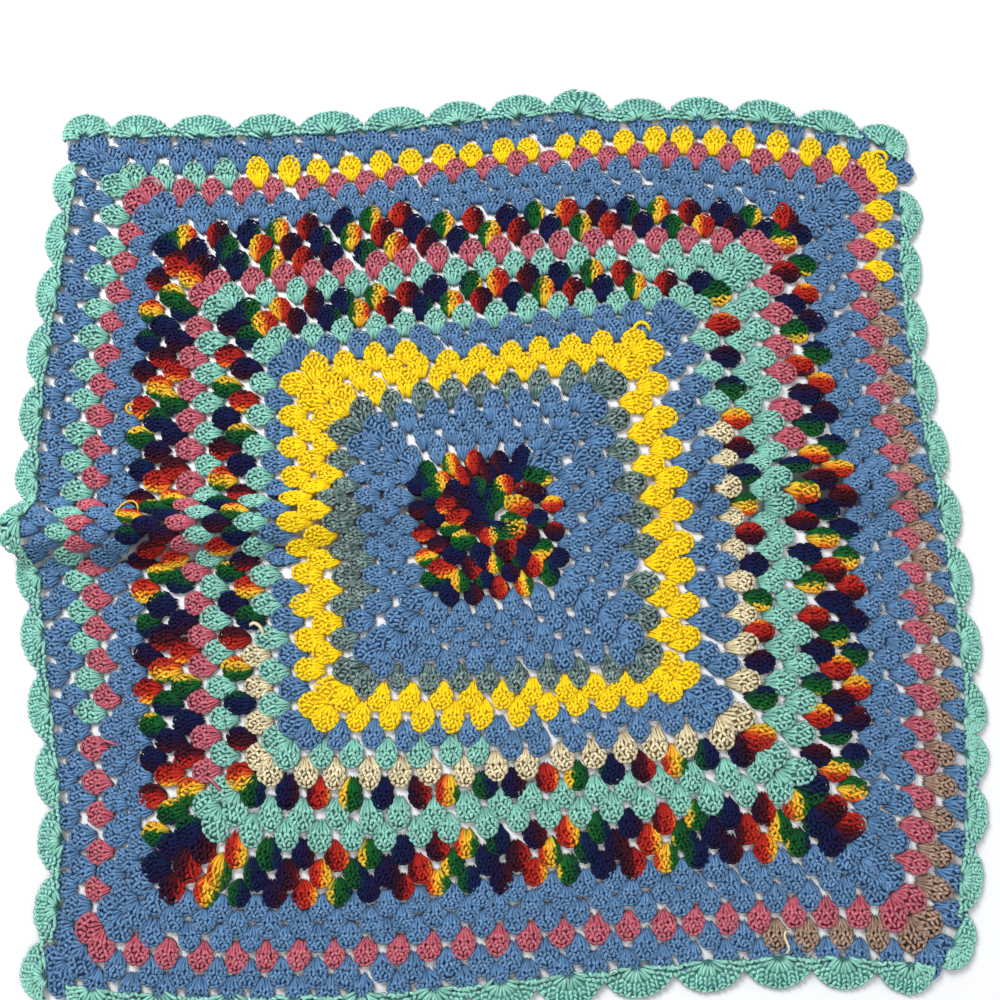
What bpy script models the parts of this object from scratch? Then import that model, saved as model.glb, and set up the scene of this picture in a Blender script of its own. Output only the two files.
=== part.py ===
"""Granny square blanket, laid out flat, with one low ridge across it where it puckers.

Standalone Blender 4.5 script: metres in the scene, +Z up, the blanket resting on z = 0.
The blanket is worked in one long spiral of rounds, clockwise as it lies: down the right side, along the
bottom, up the left side and along the top. Each side of each round is a row of three-stitch clusters.
The solid here is the cloth sheet as it lies, and the shell edging worked on round it last.
Places in the tables below are in millimetres on the table top, X to the right and Y away from the viewer.
"""
import math
from collections import namedtuple

import bmesh
import bpy

MM = 0.001
NAME = "granny_square_blanket"

# --- driving dimensions -------------------------------------------------------------------------------
THICKNESS = 4.5                 # of the crocheted cloth, mm
LAST_ROUND = 27.3               # the edging is worked over the tops of round 27
CENTRE = (-7.643, 14.800)       # middle of the blanket's box in the tables' millimetres
EDGING_GAP = 0.35               # between the cloth and its edging, mm

# The last round stops part-way along the top, where the edging begins.
STOP_AT = 0.61                  # share of the top side
STOP_OVER = 0.05                # share of the top side over which the edge steps in

# Where each measured round turns: the middle of its corner cluster pair. The top right corner is where
# a round's top row meets the next round's right row.
Ring = namedtuple("Ring", "round top_right bottom_right bottom_left top_left")
RINGS = (
    Ring(0, (-8, 17), (-8, 17), (-8, 17), (-8, 17)),
    Ring(5, (33, 84), (56, -25), (-53, -46), (-74, 60)),
    Ring(10, (128, 180), (140, -117), (-130, -127), (-153, 135)),
    Ring(14, (192, 238), (195, -160), (-202, -190), (-217, 198)),
    Ring(18, (262, 292), (260, -223), (-262, -247), (-278, 257)),
    Ring(21, (310, 322), (305, -270), (-302, -301), (-311, 306)),
    Ring(24, (365, 352), (340, -313), (-346, -334), (-345, 353)),
    Ring(27, (420, 382), (381, -375), (-394, -377), (-401, 404)),
)

# How far each row bows out from the straight line between its corners, at a quarter, a half and three
# quarters of the side, going clockwise.
Bow = namedtuple("Bow", "round top right bottom left")
BOWS = (
    Bow(0, (0, 0, 0), (0, 0, 0), (0, 0, 0), (0, 0, 0)),
    Bow(5, (8, 4, -2), (17, 13, 8), (7, 9, 9), (7, 5, 3)),
    Bow(10, (8, 7, 2), (1, 5, 1), (0, 1, 0), (4, 0, 9)),
    Bow(14, (2, 2, 2), (12, 17, 16), (7, 12, 8), (0, 8, 8)),
    Bow(18, (2, 11, 11), (6, 10, 16), (7, 16, 21), (1, 10, 13)),
    Bow(21, (5, 21, 22), (10, 21, 21), (5, 12, 16), (10, 20, 24)),
    Bow(24, (2, 21, 29), (-1, 19, 22), (4, 12, 18), (4, 26, 22)),
    Bow(27, (4, 24, 42), (-8, 16, 26), (-9, 6, 15), (-3, 22, 17)),
)

# The ridge that runs across the blanket: the line of its crest, how high it stands there, how much of
# the left and right rows' length it takes up, and how far the left rows jut out on it.
Ridge = namedtuple("Ridge", "x crest height slack jut")
RIDGE = (
    Ridge(-460, 12, 30, 42, 8), Ridge(-380, 12, 27, 42, 8), Ridge(-290, 14, 24, 40, 7),
    Ridge(-220, 18, 20, 32, 5), Ridge(-150, 26, 12, 20, 2), Ridge(-80, 33, 5, 8, 0),
    Ridge(0, 38, 2, 2, 0), Ridge(100, 42, 3, 3, 0), Ridge(180, 46, 8, 8, 0), Ridge(230, 48, 13, 12, 0),
    Ridge(300, 46, 15, 12, 0), Ridge(350, 42, 9, 8, 0), Ridge(400, 36, 3, 4, 0), Ridge(440, 32, 0, 0, 0),
)
RIDGE_HALF_WIDTH = 34.0         # from crest to flat, mm
BUNCH_HALF_LENGTH = 62.0        # of the row on each side of the crest that bunches up, mm
JUT_WIDTH = 22.0                # how far the jut spreads from the crest, mm

# The edging's shells, clockwise: where each stands along its side (x on the top and bottom, y on the
# right and left), and how far the crowns stand out from the last round. Before and after are where the
# neighbour sides' shells on the corners stand along this side. The top right corner has none.
Shells = namedtuple("Shells", "before places after depth")
SHELLS = {
    "top": Shells((), (-399, -348, -284, -220, -158, -92, -32, 29, 86, 145, 204, 268, 332, 382), (), 24.5),
    "right": Shells((), (318, 261, 202, 143, 83, 21, -37, -99, -163, -197, -250, -304, -360), (), 18.8),
    "bottom": Shells((392,), (353, 295, 239, 178, 116, 57, -1, -59, -122, -179, -236, -297, -355),
                     (-396,), 25.0),
    "left": Shells((), (-374, -319, -261, -205, -145, -80, -23, 20, 67, 128, 188, 248, 303, 360),
                   (399,), 20.5),
}
SHELL_HALF_WIDTH = 29.0         # of a shell with no neighbour, mm
VALLEY_SHARE = 0.42             # of the crowns' depth that is left in the dip between two shells
CORNER_STEPS = 4                # pieces of the edging that turn a corner
BARE_DEPTH = 3.0                # of the edging where no shell is worked, mm
BARE_FADE = 0.6                 # of a shell's half width over which the edging thins out to that
EDGING_STEP = 10.0              # between outline points, mm

GRID_ACROSS = 26                # cells of the cloth from left to right
COARSE_CELL = 0.042             # height of a cell away from the ridge, as a share of the side
FINE_CELL = 0.0105              # and on the ridge
FINE_FROM, FINE_TO = 0.41, 0.62  # where the fine cells lie, as shares from bottom to top

OUTWARD = {"top": (0, 1), "right": (1, 0), "bottom": (0, -1), "left": (-1, 0)}
ENDS = {"top": ("top_left", "top_right"), "right": ("top_right", "bottom_right"),
        "bottom": ("bottom_right", "bottom_left"), "left": ("bottom_left", "top_left")}

BLUE = (0.085, 0.235, 0.480, 1.0)
AQUA = (0.220, 0.620, 0.450, 1.0)
YARN_ROUGHNESS = 0.85
SHARP_EDGE = math.radians(50)


# --- how the blanket lies -----------------------------------------------------------------------------
def mix(a, b, share):
    """A number, or a tuple of numbers, a share of the way from a to b."""
    if isinstance(a, tuple):
        return tuple(mix(p, q, share) for p, q in zip(a, b))
    return a + (b - a) * share


def read(table, at, column):
    """A column of a table at a place between its rows, which the table's first column gives."""
    pair = 0
    while pair < len(table) - 2 and table[pair + 1][0] < at:
        pair += 1
    low, high = table[pair], table[pair + 1]
    share = (at - low[0]) / (high[0] - low[0])
    return mix(getattr(low, column), getattr(high, column), share)


def ridge(x, column):
    """The ridge's crest, height or slack at a place across the blanket."""
    return read(RIDGE, min(max(x, RIDGE[0].x), RIDGE[-1].x), column)


def lift(x, y):
    """How high the cloth's underside stands: a rounded wave over the crest line."""
    away = min(abs(y - ridge(x, "crest")) / RIDGE_HALF_WIDTH, 1.0)
    return ridge(x, "height") * 0.5 * (1.0 + math.cos(math.pi * away))


def upright_thickness(x, y):
    """The cloth's thickness measured straight up, so that it stays true across a slope."""
    step = 0.5
    slope_x = (lift(x + step, y) - lift(x - step, y)) / (2 * step)
    slope_y = (lift(x, y + step) - lift(x, y - step)) / (2 * step)
    return THICKNESS * math.sqrt(1.0 + slope_x ** 2 + slope_y ** 2)


def bowed(side, turn, share):
    """A row's bow at a share of its side: the fourth-degree curve through the three bows, 0 at the ends."""
    quarter, half, last = read(BOWS, turn, side)
    s = 4 * share
    return (quarter * s * (s - 2) * (s - 3) * (s - 4) / -6
            + half * s * (s - 1) * (s - 3) * (s - 4) / 4
            + last * s * (s - 1) * (s - 2) * (s - 4) / -6)


def bunched(side, start, end, turn, share):
    """A share of a left or right row's true length as a share of the way it spans, less the slack."""
    middle_x = (start[0] + end[0]) / 2 + OUTWARD[side][0] * read(BOWS, turn, side)[1]
    slack = ridge(middle_x, "slack")
    span = abs(end[1] - start[1])
    run = share * (span + slack)
    crest_run = abs(ridge(middle_x, "crest") - start[1]) + slack / 2
    away = min(max((run - crest_run) / BUNCH_HALF_LENGTH, -1.0), 1.0)
    taken = slack * (0.5 + 0.75 * (away - away ** 3 / 3))
    return (run - taken) / span


def row_point(side, turn, share):
    """Where a share of one side of a round lies on the table. The right row starts a round further in."""
    first, last = ENDS[side]
    start = read(RINGS, turn - 1 if side == "right" else turn, first)
    end = read(RINGS, turn, last)
    if side in ("left", "right"):
        share = bunched(side, start, end, turn, share)
    x, y = mix(start, end, share)
    bow = bowed(side, turn, share)
    if side == "left":
        bow += ridge(x, "jut") * math.exp(-((y - ridge(x, "crest")) / JUT_WIDTH) ** 2)
    return x + OUTWARD[side][0] * bow, y + OUTWARD[side][1] * bow


def rim_point(side, share):
    """The outer edge of the last round, stepping in by one round where the spiral stops."""
    turn = LAST_ROUND
    if side == "top":
        stepped = min(max((share - STOP_AT) / STOP_OVER + 0.5, 0.0), 1.0)
        turn -= stepped * stepped * (3 - 2 * stepped)
    return row_point(side, turn, share)


def heights():
    """The cloth grid's rows as shares from bottom to top, close together on the ridge."""
    def spread(low, high, cell):
        count = math.ceil((high - low) / cell)
        return [low + (high - low) * i / count for i in range(count)]

    return (spread(0.0, FINE_FROM, COARSE_CELL) + spread(FINE_FROM, FINE_TO, FINE_CELL)
            + spread(FINE_TO, 1.0, COARSE_CELL) + [1.0])


def patch_point(across, up):
    """A point inside the rim: the blend of the four edges, across and up being shares of the sides."""
    below, above = rim_point("bottom", 1 - across), rim_point("top", across)
    left, right = rim_point("left", up), rim_point("right", 1 - up)
    corners = mix(mix(rim_point("left", 0.0), rim_point("bottom", 0.0), across),
                  mix(rim_point("left", 1.0), rim_point("right", 0.0), across), up)
    return tuple(mix(b, a, up) + mix(lf, r, across) - c
                 for b, a, lf, r, c in zip(below, above, left, right, corners))


def shell_depth(side, point):
    """How far the edging reaches past the last round: round crowns, with dips where two shells meet."""
    shells = SHELLS[side]
    axis = 0 if side in ("top", "bottom") else 1
    places = sorted(shells.before + shells.places + shells.after)
    nearest = min(places, key=lambda place: abs(place - point[axis]))
    away = point[axis] - nearest
    number = places.index(nearest) + (1 if away > 0 else -1)
    half = abs(places[number] - nearest) / 2 if 0 <= number < len(places) else SHELL_HALF_WIDTH
    away = abs(away) / half
    valley = shells.depth * VALLEY_SHARE
    if away <= 1.0:
        return mix(valley, shells.depth, math.sqrt(1.0 - away ** 2))
    return mix(valley, BARE_DEPTH, min((away - 1.0) / BARE_FADE, 1.0))


# --- the two solids -----------------------------------------------------------------------------------
def raise_sheet(sheet):
    """Give a flat one-sided mesh the cloth's thickness, and lay both faces over the ridge."""
    upper = bmesh.ops.extrude_face_region(sheet, geom=sheet.faces[:])["geom"]
    upper = {v for v in upper if isinstance(v, bmesh.types.BMVert)}
    for vert in sheet.verts:
        x, y = vert.co.x, vert.co.y
        z = lift(x, y) + (upright_thickness(x, y) if vert in upper else 0.0)
        vert.co = ((x - CENTRE[0]) * MM, (y - CENTRE[1]) * MM, z * MM)
    bmesh.ops.recalc_face_normals(sheet, faces=sheet.faces)
    for face in sheet.faces:
        face.smooth = True
    for edge in sheet.edges:
        edge.smooth = edge.calc_face_angle() < SHARP_EDGE


def add_object(name, sheet, colour, collection):
    """Put a finished bmesh in the scene as a named object with its own yarn material."""
    mesh = bpy.data.meshes.new(name)
    sheet.to_mesh(mesh)
    sheet.free()
    material = bpy.data.materials.new(name)
    material.use_nodes = True
    surface = material.node_tree.nodes["Principled BSDF"]
    surface.inputs["Base Color"].default_value = colour
    surface.inputs["Roughness"].default_value = YARN_ROUGHNESS
    surface.inputs["Metallic"].default_value = 0.0
    mesh.materials.append(material)
    thing = bpy.data.objects.new(name, mesh)
    collection.objects.link(thing)


def make_cloth(collection):
    """The crocheted sheet: a flat grid fitted inside the last round, thickened and laid."""
    rows = heights()
    sheet = bmesh.new()
    bmesh.ops.create_grid(sheet, x_segments=GRID_ACROSS, y_segments=len(rows) - 1, size=1.0)
    for vert in sheet.verts:
        across = (vert.co.x + 1) / 2
        row = round((vert.co.y + 1) / 2 * (len(rows) - 1))
        vert.co.x, vert.co.y = patch_point(across, rows[row])
    raise_sheet(sheet)
    add_object("granny_square", sheet, BLUE, collection)


def rim_stations():
    """The cloth's edge vertices, clockwise from the top left, as side and share."""
    rows = heights()
    columns = [i / GRID_ACROSS for i in range(GRID_ACROSS)]
    return ([("top", c) for c in columns] + [("right", 1 - r) for r in rows[:0:-1]]
            + [("bottom", c) for c in columns] + [("left", r) for r in rows[:-1]])


def edge_normal(start, end):
    """The unit vector out of a clockwise outline along one of its stretches."""
    along_x, along_y = end[0] - start[0], end[1] - start[1]
    length = math.hypot(along_x, along_y)
    return -along_y / length, along_x / length


def edging_pairs():
    """The edging's inner and outer outline, point for point, clockwise from the top left corner.

    The inner line keeps to the cloth's edge and the outer line follows the shells. At a corner the inner
    line has one point, and the outer line turns round it.
    """
    stations = rim_stations()
    rim = [rim_point(side, share) for side, share in stations]
    faces_out = [edge_normal(a, b) for a, b in zip(rim, rim[1:] + rim[:1])]
    pairs = []
    for i, (side, _) in enumerate(stations):
        before, after = faces_out[i - 1], faces_out[i]
        is_corner = stations[i - 1][0] != side
        turns = [step / CORNER_STEPS for step in range(CORNER_STEPS + 1)] if is_corner else [0.5]
        middle = mix(before, after, 0.5)
        stretch = EDGING_GAP / (middle[0] ** 2 + middle[1] ** 2)
        inner = (rim[i][0] + middle[0] * stretch, rim[i][1] + middle[1] * stretch)
        for turn in turns:
            way = mix(before, after, turn)
            depth = shell_depth(side, rim[i]) / math.hypot(*way)
            pairs.append((inner, (rim[i][0] + way[0] * depth, rim[i][1] + way[1] * depth)))

        follows = (i + 1) % len(stations)
        steps = max(1, round(math.dist(rim[i], rim[follows]) / EDGING_STEP))
        for step in range(1, steps):
            x, y = mix(rim[i], rim[follows], step / steps)
            depth = shell_depth(side, (x, y))
            pairs.append(((x + after[0] * EDGING_GAP, y + after[1] * EDGING_GAP),
                          (x + after[0] * depth, y + after[1] * depth)))
    return pairs


def make_edging(collection):
    """The shell edging: a scalloped band just outside the cloth, thickened and laid like it."""
    sheet = bmesh.new()
    pairs = edging_pairs()
    outer = [sheet.verts.new((*out, 0.0)) for _, out in pairs]
    inner = []
    for i, (near, _) in enumerate(pairs):
        repeats = i > 0 and near == pairs[i - 1][0]
        inner.append(inner[-1] if repeats else sheet.verts.new((*near, 0.0)))
    for i in range(len(pairs)):
        ring = (inner[i - 1], outer[i - 1], outer[i], inner[i])
        sheet.faces.new(ring[:3] if inner[i] is inner[i - 1] else ring)
    raise_sheet(sheet)
    add_object("shell_edging", sheet, AQUA, collection)


def main():
    for thing in list(bpy.data.objects):
        bpy.data.objects.remove(thing, do_unlink=True)
    collection = bpy.data.collections.new(NAME)
    bpy.context.scene.collection.children.link(collection)
    make_cloth(collection)
    make_edging(collection)


main()
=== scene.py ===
"""Looks of the granny square blanket: every stitch as strands of yarn, laid on the part's folds.

The blanket is one spiral of rounds, worked clockwise from the middle: down the right side, along the
bottom, up the left side and along the top. A side of a round is a row of clusters, each of stitches
worked into one gap of the round before. A cluster is a flat body under strands: legs that fan out from
the gap, and a cap of plump grains for the wraps and loops of its stitches. The edging's shells are wider
fans of the same strands.
Places in the tables are in millimetres on the table top, X to the right and Y away from the viewer.
"""
import math
from collections import namedtuple
import bpy
import numpy as np
from mathutils import Matrix


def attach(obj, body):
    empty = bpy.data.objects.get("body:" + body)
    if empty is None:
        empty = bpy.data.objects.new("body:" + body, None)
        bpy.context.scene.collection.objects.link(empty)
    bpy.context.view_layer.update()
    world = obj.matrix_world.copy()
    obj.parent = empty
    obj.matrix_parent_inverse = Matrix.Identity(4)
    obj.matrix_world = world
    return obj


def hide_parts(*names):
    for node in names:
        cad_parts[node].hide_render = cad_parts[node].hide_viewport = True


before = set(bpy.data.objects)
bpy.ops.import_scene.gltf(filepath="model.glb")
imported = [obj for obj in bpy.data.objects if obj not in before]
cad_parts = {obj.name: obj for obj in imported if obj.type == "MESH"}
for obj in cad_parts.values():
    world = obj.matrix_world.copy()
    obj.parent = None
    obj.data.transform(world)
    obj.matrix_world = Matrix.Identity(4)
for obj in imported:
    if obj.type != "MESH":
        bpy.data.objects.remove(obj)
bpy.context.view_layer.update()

MM = 0.001
TAU = 2 * math.pi


def table(names, *rows):
    """A table's rows, each with its columns' names."""
    kind = namedtuple("Row", names)
    return tuple(kind(*row) for row in rows)


# --- how the blanket lies: the part's own tables ---
LAST_ROUND = 27.3  # the edging is worked over the tops of round 27
CENTRE = (-7.643, 14.800)  # middle of the blanket's box in the tables' millimetres
STOP_AT = 0.61  # share of the top side where round 27 ends and the edge steps in to round 26
STOP_OVER = 0.05  # share of the top side over which the edge steps in

# Where a round's corners are.
RINGS = table(
    "round top_right bottom_right bottom_left top_left",
    (0, (-8, 17), (-8, 17), (-8, 17), (-8, 17)),
    (5, (33, 84), (56, -25), (-53, -46), (-74, 60)),
    (10, (128, 180), (140, -117), (-130, -127), (-153, 135)),
    (14, (192, 238), (195, -160), (-202, -190), (-217, 198)),
    (18, (262, 292), (260, -223), (-262, -247), (-278, 257)),
    (21, (310, 322), (305, -270), (-302, -301), (-311, 306)),
    (24, (365, 352), (340, -313), (-346, -334), (-345, 353)),
    (27, (420, 382), (381, -375), (-394, -377), (-401, 404)),
)
# How far a side of a round bows outward at a quarter, a half and three quarters of the way along it.
BOWS = table(
    "round top right bottom left",
    (0, (0, 0, 0), (0, 0, 0), (0, 0, 0), (0, 0, 0)),
    (5, (8, 4, -2), (17, 13, 8), (7, 9, 9), (7, 5, 3)),
    (10, (8, 7, 2), (1, 5, 1), (0, 1, 0), (4, 0, 9)),
    (14, (2, 2, 2), (12, 17, 16), (7, 12, 8), (0, 8, 8)),
    (18, (2, 11, 11), (6, 10, 16), (7, 16, 21), (1, 10, 13)),
    (21, (5, 21, 22), (10, 21, 21), (5, 12, 16), (10, 20, 24)),
    (24, (2, 21, 29), (-1, 19, 22), (4, 12, 18), (4, 26, 22)),
    (27, (4, 24, 42), (-8, 16, 26), (-9, 6, 15), (-3, 22, 17)),
)
# The ridge at places across the blanket: where its crest lies, how high it stands, how much of the rows'
# length it takes up, and how far it pushes the left side out.
RIDGE = table(
    "x crest height slack jut",
    (-460, 12, 30, 42, 8), (-380, 12, 27, 42, 8), (-290, 14, 24, 40, 7),
    (-220, 18, 20, 32, 5), (-150, 26, 12, 20, 2), (-80, 33, 5, 8, 0),
    (0, 38, 2, 2, 0), (100, 42, 3, 3, 0), (180, 46, 8, 8, 0), (230, 48, 13, 12, 0),
    (300, 46, 15, 12, 0), (350, 42, 9, 8, 0), (400, 36, 3, 4, 0), (440, 32, 0, 0, 0),
)
RIDGE_HALF_WIDTH = 34.0
BUNCH_HALF_LENGTH = 62.0  # of the stretch of a row that is taken up round the crest
JUT_WIDTH = 22.0
BOW_PAST = 0.1  # how far past its ends a row's bow is carried on, as a share
# The edging's shells, clockwise: where each stands along its side (x on the top and bottom, y on the
# right and left), and how far the crowns stand out from the last round. Before and after are where the
# neighbour sides' shells on the corners stand along this side. Lean is how far the first and the last
# shell turn from square to the side, in degrees clockwise.
Shells = namedtuple("Shells", "before places after depth lean")
SHELLS = {
    "top": Shells((), (-399, -348, -284, -220, -158, -92, -32, 29, 86, 145, 204, 268, 332, 382), (), 24.5,
                  (-12, 20)),
    "right": Shells((), (318, 261, 202, 143, 83, 21, -37, -99, -163, -197, -250, -304, -360), (), 18.8,
                    (-6, 14)),
    "bottom": Shells((392,), (353, 295, 239, 178, 116, 57, -1, -59, -122, -179, -236, -297, -355),
                     (-396,), 25.0, (0, 0)),
    "left": Shells((), (-374, -319, -261, -205, -145, -80, -23, 20, 67, 128, 188, 248, 303, 360),
                   (399,), 20.5, (-15, 0)),
}
CLOCKWISE = ("right", "bottom", "left", "top")
OUTWARD = {"top": (0, 1), "right": (1, 0), "bottom": (0, -1), "left": (-1, 0)}
ONWARD = {"top": (1, 0), "right": (0, -1), "bottom": (-1, 0), "left": (0, 1)}
ENDS = {"top": ("top_left", "top_right"), "right": ("top_right", "bottom_right"),
        "bottom": ("bottom_right", "bottom_left"), "left": ("bottom_left", "top_left")}

# --- the yarns, in working order ---
# Each length of yarn ends on a side of a round, at a place along it (x on the top and bottom, y on the
# left and right).
YARNS = table(
    "name colour side round until",
    ("multi_centre", "multi", "top", 5, 40),
    ("blue_inner", "blue", "left", 9, -55),
    ("sage", "sage", "left", 10, 42),
    ("yellow_inner", "yellow", "top", 12, -63),
    ("blue_second", "blue", "bottom", 14, -5),
    ("aqua_inner", "aqua", "right", 15, 118),
    ("cream", "cream", "left", 15, -78),
    ("multi_inner", "multi", "top", 16, 142),
    ("aqua_second", "aqua", "left", 18, -214),
    ("pink_inner", "pink", "right", 19, 70),
    ("multi_outer", "multi", "top", 21, -78),
    ("blue_third", "blue", "left", 24, -165),
    ("pink_outer", "pink", "left", 25, -180),
    ("aqua_outer", "aqua", "top", 25, -254),
    ("yellow_outer", "yellow", "right", 26, 255),
    ("taupe", "taupe", "bottom", 26, 238),
    ("blue_outer", "blue", "top", 27, 102),
)
LAST_CLUSTERS = 27

# Where the many-coloured yarn's navy comes round, to set the colours along each length.
NAVY = table(
    "side round places",
    ("right", 4, (26,)), ("bottom", 4, (-2,)), ("left", 4, (23,)), ("top", 4, (38,)),
    ("right", 5, (-60,)), ("bottom", 5, (-66,)), ("left", 5, (60,)), ("top", 5, (52,)),
    ("top", 15, (-165, 15, 205)), ("right", 16, (65,)), ("bottom", 16, (100, -102)),
    ("top", 16, (-150, -52, 60)), ("top", 19, (-250, -38, 52)), ("top", 20, (-75, 15, 222)),
    ("right", 21, (197, 107, -188)), ("left", 21, (-290, 72, 190)), ("top", 21, (-150,)),
)
CLUSTERS_PER_CYCLE = 3.35

# --- loose ends ---
# Yarn ends and pulled loops that stand out of the cloth: the length of yarn, the many-coloured yarn's
# colour there as a share of a cycle, the strand's radius, and four places along it.
ENDS_OF_YARN = table(
    "yarn phase radius path",
    ("yellow_outer", 0, 2.0, ((370, 373), (375, 380), (383, 378), (384, 370))),
    ("multi_outer", 0.40, 1.5, ((-337, 134), (-345, 135), (-345, 129), (-337, 128))),
    ("multi_outer", 0.37, 1.2, ((-349, 23), (-343, 33), (-334, 36), (-328, 26))),
    ("cream", 0, 1.9, ((-227, -76), (-221, -72), (-215, -77), (-214, -85))),
    ("yellow_inner", 0, 1.9, ((133, 199), (136, 208), (144, 208), (148, 199))),
    ("multi_outer", 0.60, 1.5, ((276, 319), (281, 328), (286, 320), (281, 305))),
    ("cream", 0, 1.5, ((250, -345), (245, -352), (248, -360), (243, -367))),
    ("pink_outer", 0, 1.4, ((346, 366), (352, 372), (358, 364), (367, 367))),
    ("pink_inner", 0, 1.4, ((-268, -214), (-260, -209), (-252, -216), (-246, -221))),
    ("pink_outer", 0, 1.4, ((-361, -183), (-354, -176), (-347, -177), (-338, -180))),
)
END_STATIONS = 9
END_LOW = 4.0  # over the cloth's underside at its ends and at its middle, mm
END_HIGH = 8.5
END_GRAIN = 0.5  # a middling shade

# --- stitches ---
PITCH = 29.5  # from one cluster to the next along a row, mm
ROW = 14.5  # from one round to the next, mm
LEAST_TURN = 0.35  # clusters that a side of a round is taken to be long at least
LEAST_SPAN = 1.0  # and the same in mm, for its slack
FARTHEST = 0.9  # from the middle of its side that a place may lie, as a share
SLOPE_STEP = 0.5  # to each side, to measure the cloth's slope, mm
# A cluster lies as an egg with its narrow end to the middle of the blanket, in millimetres outward.
EGG_TIP = -13.4
EGG_WIDEST = 1.2
EGG_TOP = 12.2
EGG_HALF_WIDTH = 11.0
EGG_TIP_HALF_WIDTH = 3.2
EGG_ROUNDNESS = 0.80  # of its sides below the widest place: 0 is straight, 1 a quarter sine
EGG_EDGE_HEIGHT = 2.9  # of the strands' middles over the cloth's underside, at edge and crown
EGG_CROWN_HEIGHT = 5.1
EGG_LEAST_HALF_WIDTH = 2.0  # that its heights are worked out with
EGG_CURVE = 0.9  # how much of a full ellipse its height follows from side to side
EGG_LEAST_BULGE = 0.05
EGG_START = 8.0  # from its tip to where it is at full height, mm
EGG_TILT = 0.06  # its narrow end lies tucked under the round before: rise per mm outward
EDGE_PAINTED_SHADE = 0.45  # painted shade on the strands along its outline
BODY_OUT = (-12.4, -7.5, -1.5, 4.0, 8.4, 10.6)  # where the body under the strands has its sections
BODY_INSET = 1.0
BODY_HEIGHT = 2.8
BODY_RISE = 1.6
BODY_SIDES = 8
LEG_PLACES = (-1.0, -0.6, -0.2, 0.2, 0.6, 1.0)  # of the legs, as shares of the half width
LEG_OUT = (-13.8, -11.2, -4.6, 0.6)
LEG_INSET = 1.3
LEG_RADIUS = (0.0, 1.25, 1.85, 0.0)
LEG_PAINTED_SHADE = (0.9, 0.5, 0.0, 0.8)  # how much painted shade each station gets, most at the ends
LEG_LOWER = 0.2  # than the egg's height, mm
# The cap's rows of grains: millimetres outward, how many, their slant to and fro in degrees, and how far
# they are drawn in from the outline.
CAP = table("out count slant inset",
            (-3.0, 6, 34, 1.4), (0.4, 6, -34, 2.0), (3.7, 5, 34, 3.4), (7.0, 4, -34, 3.8))
ROW_SAG = 1.0  # of a row's ends below its middle, mm
ROW_FAN = math.radians(20)  # of the end grains away from the middle
RIM_STEP = math.radians(27)
RIM_COUNT = 8
RIM_TWIST = math.radians(9)
GRAIN_LENGTH = 6.6
GRAIN_RADIUS = 1.6
GRAIN_RUN = (-0.5, -0.17, 0.17, 0.5)  # a grain's stations along its length
GRAIN_SWELL = (0.0, 1.0, 1.0, 0.0)
GRAIN_DIP = 1.0  # of a grain's ends, mm
GRAIN_END_PAINTED_SHADE = 0.8  # painted shade on its ends
GRAIN_INSET = 1.5  # of the rim's grains from the outline
GRAIN_HIGHER = 0.25  # than the egg's height, mm
SIDES = 4  # of a strand's cross-section
CORNER_LEAN = math.radians(9)  # of a corner cluster towards its corner
NEXT_LEAN = math.radians(4)  # and of its neighbour in the row
CORNER_WIDEN = 1.16
TURN_SPREAD = math.radians(5)  # how far clusters stray from square, as a standard deviation
SIZE_SPREAD = 0.04
SIZE_ROUNDS = (2, 3, 5, 6, 9, 12)  # rounds, and their clusters' size against the others
SIZE_SHARES = (1.1, 0.95, 0.93, 1.03, 1.03, 1.0)
REACH_LEAST = 0.92  # how much shorter and longer than their own size clusters may lie
REACH_MOST = 1.25
FIRST_SHIFT = 3.0  # of the first round inward, mm, so that it closes round the start
SLANT_SHARE = 0.6  # how far a cluster leans from square to its row towards the next one
FRAME_STEP = 0.25  # clusters or rounds to each side, to measure the lay there
SHIFT_SPREAD = 0.5  # mm
GRAIN_TURN_SPREAD = math.radians(11)
GRAIN_SHIFT_SPREAD = 0.26  # mm
GRAIN_HEIGHT_SPREAD = 0.15  # mm
GRAIN_SIZE_SPREAD = 0.05
PHASE_SPREAD = 0.007  # of a strand's place in the cycle of colours
WHOLE_CYCLES = 100  # added to it, so that it is never below zero
# A shell is half an ellipse of legs round one foot, its rows of grains given as shares of its reach.
FAN_HALF_WIDTH = 19.0  # of a shell with no neighbour, mm
FAN_FOOT = -2.5  # of a shell outward from the last round's edge, mm
FAN_LIFT = 4.6  # of a shell's foot, over the round it is worked into, mm
FAN_DROP = 0.85  # the share of that by which its rim lies lower
FAN_OVERLAP = 1.07  # of a shell's width, so that neighbours meet part of the way up
FAN_HALF_ANGLE = math.radians(78)
FAN_LEGS = 10
FAN_LEG_SHARES = (0.08, 0.25, 0.46, 0.64)
FAN_LEG_RADIUS = (0.0, 1.45, 2.3, 0.0)
FAN_LEG_HEIGHT = (3.0, 3.5, 3.4, 2.4)
# how much painted shade each station of a shell's legs gets, most at the ends
FAN_LEG_PAINTED_SHADE = (0.8, 0.1, 0.0, 0.8)
FAN_ROWS = table("share count slant", (0.60, 13, 28), (0.73, 15, -32), (0.855, 17, 32))
FAN_ROW_ANGLE = 1.03  # how much wider than the legs the rows spread, and the rim
FAN_RIM_ANGLE = 1.05
FAN_RIM_SHARE = 0.955
FAN_RIM_COUNT = 15
FAN_RIM_STEP = 0.01  # onward round the rim, to measure its run, in radians
FAN_GRAIN_SIZE = 1.08  # against a cluster's
FAN_GRAIN_HEIGHT = 3.3  # mm
FAN_BODY = (-1.0, -0.85, -0.5, 0.0, 0.5, 0.85, 1.0)  # sections of the body, as shares of the half width
FAN_BODY_INSET = 1.2
FAN_BODY_HEIGHT = 1.8
JOIN_SPREAD = math.radians(26)  # to each side, of the two loops worked between shells
JOIN_FOOT = -1.5  # of the two loops outward from the last round's edge, mm
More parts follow.
